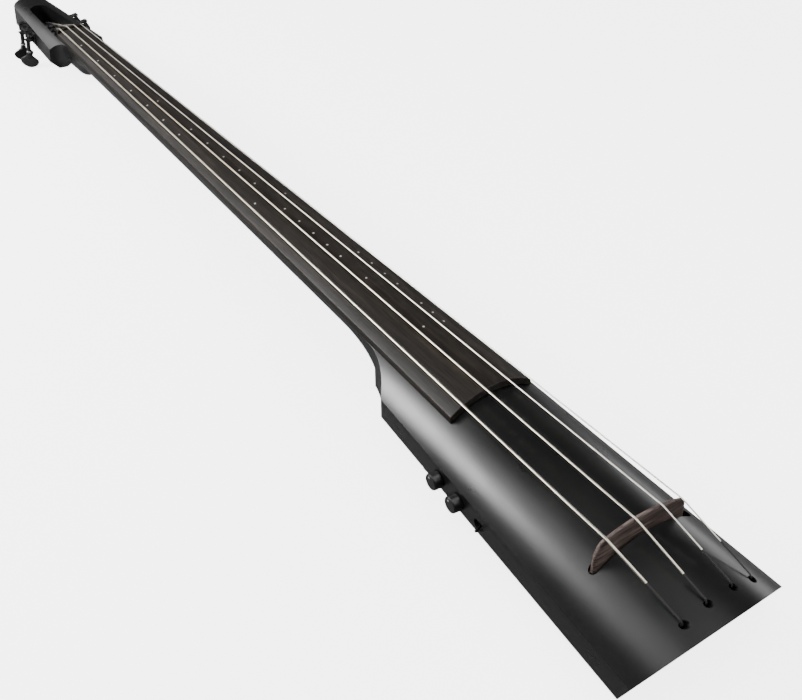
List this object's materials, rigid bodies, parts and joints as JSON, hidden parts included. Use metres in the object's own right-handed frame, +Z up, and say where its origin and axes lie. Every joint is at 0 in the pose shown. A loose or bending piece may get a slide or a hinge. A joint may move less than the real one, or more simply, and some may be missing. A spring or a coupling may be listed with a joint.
{
  "type": "electric upright double bass",
  "caption": "Slim solid-body electric upright double bass with arched top, low bridge, side controls and geared tuning machines, lying on its back.",
  "frame": {"origin": "middle of the bounding box, on the surface that the instrument lies on", "axes": "+Y along the instrument from tail to head, +Z up, from the back to the strings, -X on the low E string side, where the controls are"},
  "size_m": [0.1472, 1.3358, 0.0899],
  "materials": {
    "black_lacquer": "satin black lacquer over wood",
    "ebony": "oiled dark tonewood",
    "steel_strings": "round wound steel",
    "black_metal": "black plated",
    "brass": "machined",
    "steel": "satin",
    "black_plastic": "moulded, fine texture",
    "circuit": "printed circuit laminate"
  },
  "bodies": {
    "instrument": {"body": "black_lacquer", "neck": "black_lacquer", "fingerboard": "ebony", "nut": "ebony", "bridge": "ebony", "piezo_pickup": "brass", "bridge_height_screw_bass": "brass", "bridge_height_screw_treble": "brass", "string_e": "steel_strings", "string_a": "steel_strings", "string_d": "steel_strings", "string_g": "steel_strings", "string_ferrule_e": "brass", "string_ferrule_a": "brass", "string_ferrule_d": "brass", "string_ferrule_g": "brass", "truss_rod": "steel", "volume_pot": "steel", "tone_pot": "steel", "mode_switch": "black_metal", "output_jack": "steel", "jack_nut": "steel", "circuit_board": "circuit", "cavity_cover": "black_plastic", "stand_plate": "black_metal", "tuner_plate_e": "black_metal", "tuner_plate_a": "black_metal", "tuner_plate_d": "black_metal", "tuner_plate_g": "black_metal"},
    "worm_shaft_e": {"worm_e": "black_metal", "tuner_button_e": "black_plastic"},
    "post_e": {"string_post_e": "steel", "worm_wheel_e": "brass"},
    "worm_shaft_a": {"worm_a": "black_metal", "tuner_button_a": "black_plastic"},
    "post_a": {"string_post_a": "steel", "worm_wheel_a": "brass"},
    "worm_shaft_d": {"worm_d": "black_metal", "tuner_button_d": "black_plastic"},
    "post_d": {"string_post_d": "steel", "worm_wheel_d": "brass"},
    "worm_shaft_g": {"worm_g": "black_metal", "tuner_button_g": "black_plastic"},
    "post_g": {"string_post_g": "steel", "worm_wheel_g": "brass"},
    "volume_control": {"volume_knob": "black_plastic", "volume_shaft": "steel"},
    "tone_control": {"tone_knob": "black_plastic", "tone_shaft": "steel"},
    "switch_lever": {"mode_switch_lever": "black_metal"}
  },
  "joints": [
    {"name": "tuner_e_turn", "type": "hinge", "parent": "instrument", "child": "worm_shaft_e", "pos_m": [-0.03831, 0.55893, 0.0457], "axis": [0.1219, 0.0149, 0.9924], "continuous": true},
    {"name": "post_e_turn", "type": "hinge", "parent": "instrument", "child": "post_e", "pos_m": [-0.03265, 0.55022, 0.04514], "axis": [0.9925, -0.0018, -0.1219], "continuous": true},
    {"name": "tuner_a_turn", "type": "hinge", "parent": "instrument", "child": "worm_shaft_a", "pos_m": [-0.0361, 0.58892, 0.04498], "axis": [0.1219, 0.0149, 0.9924], "continuous": true},
    {"name": "post_a_turn", "type": "hinge", "parent": "instrument", "child": "post_a", "pos_m": [-0.03045, 0.58022, 0.04441], "axis": [0.9925, -0.0018, -0.1219], "continuous": true},
    {"name": "tuner_d_turn", "type": "hinge", "parent": "instrument", "child": "worm_shaft_d", "pos_m": [0.03721, 0.57392, 0.04534], "axis": [-0.1219, 0.0149, 0.9924], "continuous": true},
    {"name": "post_d_turn", "type": "hinge", "parent": "instrument", "child": "post_d", "pos_m": [0.03155, 0.56522, 0.04478], "axis": [0.9925, 0.0018, 0.1219], "continuous": true},
    {"name": "tuner_g_turn", "type": "hinge", "parent": "instrument", "child": "worm_shaft_g", "pos_m": [0.03933, 0.54493, 0.04604], "axis": [-0.1219, 0.0149, 0.9924], "continuous": true},
    {"name": "post_g_turn", "type": "hinge", "parent": "instrument", "child": "post_g", "pos_m": [0.03367, 0.53623, 0.04547], "axis": [0.9925, 0.0018, 0.1219], "continuous": true},
    {"name": "volume_turn", "type": "hinge", "parent": "instrument", "child": "volume_control", "pos_m": [-0.0631, -0.42166, 0.02671], "axis": [-0.9989, 0.0462, -0.0007], "range_deg": [-150, 150]},
    {"name": "tone_turn", "type": "hinge", "parent": "instrument", "child": "tone_control", "pos_m": [-0.06435, -0.44869, 0.02499], "axis": [-0.9989, 0.0462, -0.0007], "range_deg": [-150, 150]},
    {"name": "mode_switch_flip", "type": "hinge", "parent": "instrument", "child": "switch_lever", "pos_m": [-0.06063, -0.47645, 0.02325], "axis": [0, 0.015, 0.9999], "range_deg": [-40, 0]}
  ],
  "couplings": [
    {"joint": "post_e_turn", "follows": "tuner_e_turn", "ratio": 0.071429},
    {"joint": "post_a_turn", "follows": "tuner_a_turn", "ratio": 0.071429},
    {"joint": "post_d_turn", "follows": "tuner_d_turn", "ratio": -0.071429},
    {"joint": "post_g_turn", "follows": "tuner_g_turn", "ratio": -0.071429}
  ]
}
